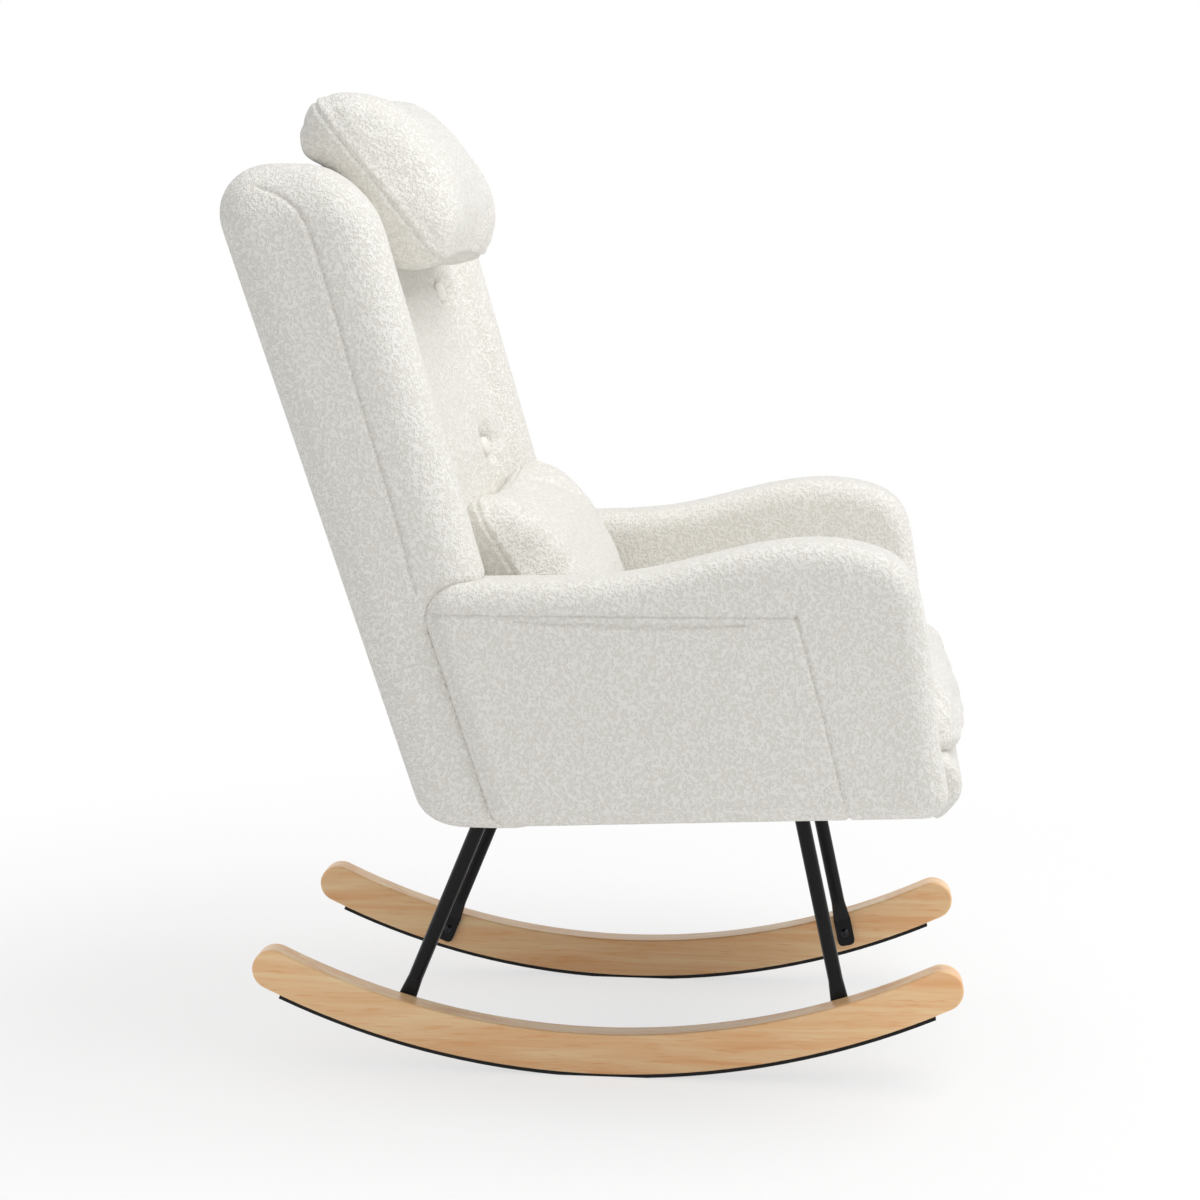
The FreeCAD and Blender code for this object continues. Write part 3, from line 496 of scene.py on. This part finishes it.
def buttonPlaces():
    # middle and facing of each covered button, from its CAD solid
    work = bmesh.new()
    work.from_mesh(nodes["back_buttons"].data)
    bmesh.ops.remove_doubles(work, verts=work.verts, dist=mergeWithin)
    found = []
    for island in islandsOf(work):
        points = np.array([vert.co for vert in island])
        middle = (points.min(axis=0) + points.max(axis=0)) / 2
        thinnest = np.linalg.svd(points - points.mean(axis=0))[2][2]
        found.append((middle, thinnest if thinnest[1] < 0 else -thinnest))
    work.free()
    return found


def drawIn(piece, turn, middle, facing):
    # folds of cloth that run out from under a button and die away, and the dip round it
    found = places(piece)
    across = np.cross((0, 0, 1), facing)
    across /= np.linalg.norm(across)
    upward = np.cross(facing, across)
    offset = found - middle
    reach = np.linalg.norm(offset, axis=1)
    radius = np.linalg.norm(offset - np.outer(offset @ facing, facing), axis=1)
    angle = np.arctan2(offset @ upward, offset @ across)
    fade = np.clip((back["tuftReach"] - radius) / back["tuftReach"], 0, 1) ** back["foldFade"]
    fade *= np.clip((radius - back["foldFrom"]) / back["foldBlend"], 0, 1) * (reach < back["tuftBehind"])
    width = back["foldWidth"] * (back["foldNarrow"] + radius / back["foldOpens"])
    dent = np.zeros(len(found))
    for place, fold in enumerate(back["folds"]):
        stray = math.sin(back["swingByButton"] * turn + back["swingByFold"] * place)
        swing = angle - fold - back["foldSwing"] * stray
        aside = np.where(np.cos(swing) < 0, np.inf, np.abs(np.sin(swing)) * radius)
        dent = np.maximum(dent, np.exp(-(aside / width) ** 2))
    ring = np.exp(-((radius - back["buttonSize"]) / back["ringWidth"]) ** 2) * (reach < back["ringBehind"])
    setPlaces(piece, found - facings(piece) * (dent * fade * back["foldDepth"])[:, None]
              - (ring * back["ringDepth"])[:, None] * facing)


def makeBack():
    piece = softPiece("backCover", ["back_shell", "back_pad", "back_post_left", "back_post_right",
                                    "back_top_rail", "back_lumbar_rail", "back_webbing"], back)
    grow(piece, back["swell"])
    tufts = buttonPlaces()

    def fromSeam():
        now = places(piece)
        return np.where(np.abs(now[:, 0]) > back["sideX"], toLine(now[:, 1:], back["sideSeam"]), np.inf)

    near = fromSeam() < back["seamReach"]
    for middle, facing in tufts:
        near |= np.linalg.norm(places(piece) - middle, axis=1) < back["tuftReach"]
    refine(piece, near)
    press(piece, fromSeam(), back["seamWidth"], back["seamDepth"])
    laid = []
    for turn, (middle, facing) in enumerate(tufts):
        drawIn(piece, turn, middle, facing)
        hit = skinTree(piece).ray_cast(Vector(middle + facing * back["buttonFrom"]), Vector(-facing))
        laid.append((np.array(hit[0]) + facing * back["buttonLift"], facing))
    for way in (1, -1):
        seams["chair"].append(onSide(piece, back["sideSeam"], way))
    finishSoft(piece, "chair", back["fill"], "back_shell", "back_pad")
    return laid


def groupSocket(tree, name, kind, value):
    socket = tree.interface.new_socket(name, in_out="INPUT", socket_type=kind)
    socket.default_value = value
    return socket.identifier


def newTree(name):
    tree = bpy.data.node_groups.new(name, "GeometryNodeTree")
    tree.interface.new_socket("Geometry", in_out="INPUT", socket_type="NodeSocketGeometry")
    tree.interface.new_socket("Geometry", in_out="OUTPUT", socket_type="NodeSocketGeometry")
    return tree


def closeTree(tree, geometry, material):
    real = addNode(tree, "GeometryNodeRealizeInstances", {0: geometry})
    smooth = addNode(tree, "GeometryNodeSetShadeSmooth", {0: real.outputs[0]})
    coloured = addNode(tree, "GeometryNodeSetMaterial", {0: smooth.outputs[0], "Material": material})
    addNode(tree, "NodeGroupOutput", {0: coloured.outputs[0]})


def grown(name, points, edges, tree, values, facingOf=None):
    # a mesh of points with the tree's modifier, turned into a plain mesh
    mesh = bpy.data.meshes.new(name)
    mesh.from_pydata([tuple(point) for point in points], edges, [])
    if facingOf is not None:
        mesh.attributes.new("facing", "FLOAT_VECTOR", "POINT").data.foreach_set("vector", np.ravel(facingOf))
    piece = bpy.data.objects.new(name, mesh)
    scene.collection.objects.link(piece)
    modifier = piece.modifiers.new(name, "NODES")
    modifier.node_group = tree
    for identifier, value in values.items():
        modifier[identifier] = value
    return evaluated(piece)


# covered buttons, one on each tuft
def makeButtons(laid):
    tree = newTree("coveredButtons")
    size = groupSocket(tree, "Size", "NodeSocketFloat", back["buttonSize"])
    rise = groupSocket(tree, "Rise", "NodeSocketFloat", back["buttonRise"])
    given = addNode(tree, "NodeGroupInput")
    dome = addNode(tree, "GeometryNodeMeshUVSphere", {"Segments": 32, "Rings": 16, "Radius": 1.0})
    scale = addNode(tree, "ShaderNodeCombineXYZ", {"X": given.outputs["Size"], "Y": given.outputs["Size"],
                                                   "Z": given.outputs["Rise"]})
    button = addNode(tree, "GeometryNodeTransform", {"Geometry": dome.outputs["Mesh"],
                                                     "Scale": scale.outputs[0]})
    stored = addNode(tree, "GeometryNodeInputNamedAttribute", {"Name": "facing"}, data_type="FLOAT_VECTOR")
    turned = addNode(tree, "FunctionNodeAlignRotationToVector", {"Vector": stored.outputs["Attribute"]},
                     axis="Z")
    put = addNode(tree, "GeometryNodeInstanceOnPoints", {"Points": given.outputs[0],
                                                         "Instance": button.outputs[0],
                                                         "Rotation": turned.outputs[0]})
    closeTree(tree, put.outputs[0], buttonFabric)
    values = {size: back["buttonSize"], rise: back["buttonRise"]}
    middles, facingOf = zip(*laid)
    piece = grown("tuftButtons", middles, [], tree, values, facingOf)
    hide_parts("back_buttons")
    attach(piece, "chair")


makeButtons(makeBack())
print("arms, back and buttons made")

# loose and sewn-down cushions, swelled by cloth simulation between their seams and where they rest
cushions = {
    "seatCushion": {
        "node": "seat_cushion", "body": "chair", "voxel": 0.006, "smoothing": 4, "fill": 0.8,
        "shrink": 0.004, "cap": 0.010,           # m, drawn in before it swells, and the most it swells by
        "heldDown": -0.3, "heldRear": 0.6,       # facings past these rest on the webbing and the back
        "nose": 0.006, "noseFrom": -0.330, "noseBlend": 0.030,      # m, the front comes forward
        "tail": 0.045, "tailBlend": 0.080, "tailHalf": 0.250,       # m, the rear runs in below the back
    },
    "headPillow": {
        "node": "headrest_pillow", "body": "headrest", "voxel": 0.008, "smoothing": 24, "fill": 0.7,
        "shrink": 0.003, "cap": 0.009, "swell": 0.003, "shift": (0, 0.002, 0.007),
        "middle": (0, 0.242, 0.958), "lean": 38.9,         # degrees, of the plane of its rim seam
    },
    "lumbarPillow": {
        "node": "lumbar_pillow", "body": "lumbar", "voxel": 0.008, "smoothing": 14, "fill": 0.7,
        "shrink": 0.003, "cap": 0.009, "swell": 0.003,
        "middle": (0, 0.081, 0.534), "lean": 29.7,
    },
}
cushionSeam = {
    "width": 0.0026,
    "depth": 0.0026,
    "reach": 0.012,          # m from the seam, within which the mesh is finer
    "pinned": 0.009,         # m from the seam, within which the cloth is held
    "rear": 0.030,           # m behind the seam, past which the pillow rests on the back
}
swelling = {
    "frames": 20,
    "quality": 4,
    "pressure": 4.0,
    "mass": 0.3,             # kg for each point
    "slack": 0.025,          # share by which the cloth is larger than the cushion
}


def plump(piece, look, held):
    # the cloth swells where it isn't held, and no point moves further than the cap
    setPlaces(piece, places(piece) - facings(piece) * (look["shrink"] * ~held)[:, None])
    begun = places(piece)
    holding = piece.vertex_groups.new(name="held")
    holding.add(np.flatnonzero(held).tolist(), 1.0, "REPLACE")
    cloth = piece.modifiers.new("plump", "CLOTH")
    cloth.settings.quality = swelling["quality"]
    cloth.settings.mass = swelling["mass"]
    cloth.settings.use_pressure = True
    cloth.settings.uniform_pressure_force = swelling["pressure"]
    cloth.settings.shrink_min = -swelling["slack"]
    cloth.settings.effector_weights.gravity = 0
    cloth.settings.vertex_group_mass = "held"
    cloth.collision_settings.use_collision = False
    cloth.point_cache.frame_start = 1
    cloth.point_cache.frame_end = swelling["frames"]
    for step in range(1, swelling["frames"] + 1):
        scene.frame_set(step)
    evaluated(piece)
    scene.frame_set(1)
    moved = places(piece) - begun
    length = np.linalg.norm(moved, axis=1)
    tooFar = length > look["cap"]
    moved[tooFar] *= (look["cap"] / length[tooFar])[:, None]
    setPlaces(piece, begun + moved)


def rimDistance(piece, look):
    # how far each point lies from the plane of the rim seam, to the front
    lean = math.radians(look["lean"])
    forward = np.array((0, -math.cos(lean), math.sin(lean)))
    return (places(piece) - np.array(look["middle"])) @ forward


def rimLoop(piece, look):
    # the rim seam, found from the middle of the pillow
    tree = skinTree(piece)
    lean = math.radians(look["lean"])
    upward = Vector((0, math.sin(lean), math.cos(lean)))
    loop = []
    for step in range(sewing["rimPoints"] + 1):
        turn = 2 * math.pi * step / sewing["rimPoints"]
        way = Vector((math.cos(turn), 0, 0)) + upward * math.sin(turn)
        hit = tree.ray_cast(Vector(look["middle"]), way)
        if hit[0] is not None:
            loop.append(hit[0] - hit[1] * sewing["sink"])
    return loop


def heldPoints(piece, look):
    # along the seam and where the cushion rests
    if "lean" in look:
        rim = rimDistance(piece, look)
        return (np.abs(rim) < cushionSeam["pinned"]) | (rim < -cushionSeam["rear"])
    normals = facings(piece)
    return (normals[:, 2] < look["heldDown"]) | (normals[:, 1] > look["heldRear"])


def drawOut(piece, look):
    # the seat cushion's front over the border, and its rear below the back between the arms
    found = places(piece)
    found[:, 1] -= look["nose"] * np.clip((look["noseFrom"] - found[:, 1]) / look["noseBlend"], 0, 1)
    behind = np.clip((found[:, 1] - found[:, 1].max() + look["tailBlend"]) / look["tailBlend"], 0, 1)
    found[:, 1] += look["tail"] * behind * np.clip(1 - (found[:, 0] / look["tailHalf"]) ** 2, 0, 1)
    setPlaces(piece, found)


def subdivided(piece):
    finer = piece.modifiers.new("finer", "SUBSURF")
    finer.levels = finer.render_levels = 1
    evaluated(piece)
    piece.data.shade_smooth()


def makeCushion(name, look):
    piece = softPiece(name, [look["node"]], look)
    grow(piece, look.get("swell", 0.0))
    setPlaces(piece, places(piece) + np.array(look.get("shift", (0, 0, 0))))
    plump(piece, look, heldPoints(piece, look))
    if "nose" in look:
        drawOut(piece, look)
    subdivided(piece)
    if "lean" in look:
        refine(piece, np.abs(rimDistance(piece, look)) < cushionSeam["reach"])
        press(piece, np.abs(rimDistance(piece, look)), cushionSeam["width"], cushionSeam["depth"])
        seams[look["body"]].append(rimLoop(piece, look))
    finishSoft(piece, look["body"], look["fill"], look["node"])
    print(name, "plumped")


for name, look in cushions.items():
    makeCushion(name, look)

# padded border under the front of the seat cushion
border = {
    "voxel": 0.004,
    "smoothing": 6,
    "fill": 0.9,
    "swell": 0.0016,
    "reach": 1.02,           # the border gets wider by this, so that its ends press into the arms
    "tuck": 0.020,           # m, the lower edge comes down to the foot of the arms
    "tuckFrom": 0.045,       # m above that edge, from where it is drawn down
    "lipFrom": -0.362,       # m, the cover runs on over the front rail, under the cushion
    "lipTo": -0.262,
    "lipHalf": 0.239,
    "lipThick": 0.020,
    "lipSink": 0.004,        # m below the border's top, where the lip's middle lies
}


def addLip(work):
    level = max(vert.co.z for vert in work.verts) - border["lipSink"]
    half = border["lipThick"] / 2
    addBlock(work, (-border["lipHalf"], border["lipFrom"], level - half),
             (border["lipHalf"], border["lipTo"], level + half))


def makeBorder():
    piece = softPiece("frontBorder", ["front_border"], border, addLip)
    grow(piece, border["swell"])
    found = places(piece)
    found[:, 0] *= border["reach"]
    above = found[:, 2] - found[:, 2].min()
    found[:, 2] -= border["tuck"] * np.clip(1 - above / border["tuckFrom"], 0, 1)
    setPlaces(piece, found)
    finishSoft(piece, "chair", border["fill"], "front_border")


makeBorder()

# seam stitches along every sewn line
stitches = {
    "spacing": 0.0052,
    "halfLength": 0.0019,
    "thick": 0.00055,        # m, from the middle of the thread to its outside
}


def makeStitches():
    tree = newTree("seamStitches")
    spacing = groupSocket(tree, "Spacing", "NodeSocketFloat", stitches["spacing"])
    length = groupSocket(tree, "Half length", "NodeSocketFloat", stitches["halfLength"])
    thick = groupSocket(tree, "Thickness", "NodeSocketFloat", stitches["thick"])
    given = addNode(tree, "NodeGroupInput").outputs
    curve = addNode(tree, "GeometryNodeMeshToCurve", {0: given[0]})
    evenly = addNode(tree, "GeometryNodeCurveToPoints", {"Curve": curve.outputs[0],
                                                         "Length": given["Spacing"]}, mode="LENGTH")
    grain = addNode(tree, "GeometryNodeMeshUVSphere", {"Segments": 6, "Rings": 5, "Radius": 1.0})
    size = addNode(tree, "ShaderNodeCombineXYZ", {"X": given["Thickness"], "Y": given["Thickness"],
                                                  "Z": given["Half length"]})
    stitch = addNode(tree, "GeometryNodeTransform", {"Geometry": grain.outputs["Mesh"],
                                                     "Scale": size.outputs[0]})
    turned = addNode(tree, "FunctionNodeAlignRotationToVector", {"Vector": evenly.outputs["Tangent"]},
                     axis="Z")
    put = addNode(tree, "GeometryNodeInstanceOnPoints", {"Points": evenly.outputs["Points"],
                                                         "Instance": stitch.outputs[0],
                                                         "Rotation": turned.outputs[0]})
    closeTree(tree, put.outputs[0], seamThread)
    values = {spacing: stitches["spacing"], length: stitches["halfLength"], thick: stitches["thick"]}
    for body, paths in seams.items():
        points, edges = [], []
        for path in paths:
            edges += [(len(points) + i, len(points) + i + 1) for i in range(len(path) - 1)]
            points += path
        piece = grown("stitches_" + body, points, edges, tree, values)
        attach(piece, body)
        print(piece.name, len(piece.data.polygons), "faces")


makeStitches()
print("soft pieces made")

# floor, light and camera
studio = {
    "floorColour": "#fcfcfc",
    "floorHalf": 30.0,       # m
    "floorWhite": 0.66,      # share of white in the floor under the chair
    "fadeFrom": 0.6,         # m from the middle of the chair, where the floor starts to turn all white
    "fadeTo": 1.5,
    "skyLight": 0.62,
    "skyLean": 0.15,         # share by which the light behind the chair is stronger, and before it weaker
    "keyPower": 62.0,
    "keyPlace": (-0.3, -1.5, 3.2),
    "keyAim": (0, 0, 0.5),
    "keySize": 2.6,
    "cameraPlace": (-2.73585, -0.2618, 0.93071),
    "cameraTurn": 275.9294,  # degrees, round the vertical
    "cameraDip": 9.035,      # degrees below level
    "lens": 74.10,           # mm
    "sensor": 36.0,
}


def seenDirectly(tree):
    # 1 on what the camera sees, also in a gloss or through something clear
    path = addNode(tree, "ShaderNodeLightPath").outputs
    seen = addNode(tree, "ShaderNodeMath", {0: path["Is Camera Ray"], 1: path["Is Glossy Ray"]},
                   operation="MAXIMUM")
    seen = addNode(tree, "ShaderNodeMath", {0: seen.outputs[0], 1: path["Is Transmission Ray"]},
                   operation="MAXIMUM")
    return seen.outputs[0]


# white paper sweep: matt, with the chair's soft shadow, and all white further out
def makeFloor():
    material, tree = newMaterial("whiteStudioFloor")
    place = addNode(tree, "ShaderNodeTexCoord").outputs["Object"]
    reach = addNode(tree, "ShaderNodeVectorMath", {0: place}, operation="LENGTH")
    fade = addNode(tree, "ShaderNodeMapRange", {"Value": reach.outputs["Value"],
                                                "From Min": studio["fadeFrom"], "From Max": studio["fadeTo"],
                                                "To Min": studio["floorWhite"]},
                   interpolation_type="SMOOTHSTEP")
    white = addNode(tree, "ShaderNodeMath", {0: fade.outputs[0], 1: seenDirectly(tree)}, operation="MULTIPLY")
    matt = addNode(tree, "ShaderNodeBsdfPrincipled", {"Base Color": linear(studio["floorColour"]),
                                                      "Roughness": 0.7, "Specular IOR Level": 0.2})
    glow = addNode(tree, "ShaderNodeEmission", {"Color": (1, 1, 1, 1), "Strength": 1.0})
    mixed = addNode(tree, "ShaderNodeMixShader", {0: white.outputs[0], 1: matt.outputs[0],
                                                  2: glow.outputs[0]})
    addNode(tree, "ShaderNodeOutputMaterial", {"Surface": mixed.outputs[0]})
    work = bmesh.new()
    bmesh.ops.create_grid(work, x_segments=1, y_segments=1, size=studio["floorHalf"])
    mesh = bpy.data.meshes.new("studioFloor")
    work.to_mesh(mesh)
    work.free()
    mesh.materials.append(material)
    floor = bpy.data.objects.new("studioFloor", mesh)
    scene.collection.objects.link(floor)


def makeSky():
    world = bpy.data.worlds.new("whiteStudio")
    scene.world = world
    world.use_nodes = True
    tree = world.node_tree
    tree.nodes.clear()
    toSky = addNode(tree, "ShaderNodeTexCoord").outputs["Generated"]
    way = addNode(tree, "ShaderNodeSeparateXYZ", {0: toSky})
    lean = addNode(tree, "ShaderNodeMapRange", {"Value": way.outputs["X"], "From Min": -1.0,
                                                "To Min": studio["skyLight"] * (1 - studio["skyLean"]),
                                                "To Max": studio["skyLight"] * (1 + studio["skyLean"])})
    strength = addNode(tree, "ShaderNodeMapRange", {"Value": seenDirectly(tree), "To Min": lean.outputs[0],
                                                    "To Max": 1.0})
    sky = addNode(tree, "ShaderNodeBackground", {"Color": (1, 1, 1, 1), "Strength": strength.outputs[0]})
    addNode(tree, "ShaderNodeOutputWorld", {"Surface": sky.outputs[0]})


def makeKey():
    lamp = bpy.data.lights.new("softKey", "AREA")
    lamp.energy = studio["keyPower"]
    lamp.size = studio["keySize"]
    key = bpy.data.objects.new("softKey", lamp)
    key.location = studio["keyPlace"]
    key.rotation_euler = (Vector(studio["keyAim"]) - key.location).to_track_quat("-Z", "Y").to_euler()
    scene.collection.objects.link(key)


def makeCamera():
    turn, dip = math.radians(studio["cameraTurn"]), math.radians(studio["cameraDip"])
    right = Vector((math.cos(turn), math.sin(turn), 0))
    behind = Vector((math.sin(turn) * math.cos(dip), -math.cos(turn) * math.cos(dip), math.sin(dip)))
    above = behind.cross(right)
    lens = bpy.data.cameras.new("photoCamera")
    lens.lens = studio["lens"]
    lens.sensor_width = studio["sensor"]
    camera = bpy.data.objects.new("photoCamera", lens)
    turned = Matrix((right, above, behind)).transposed().to_4x4()
    camera.matrix_world = Matrix.Translation(studio["cameraPlace"]) @ turned
    scene.collection.objects.link(camera)
    scene.camera = camera


makeFloor()
makeSky()
makeKey()
makeCamera()
scene.view_settings.view_transform = "Standard"
print("studio made")
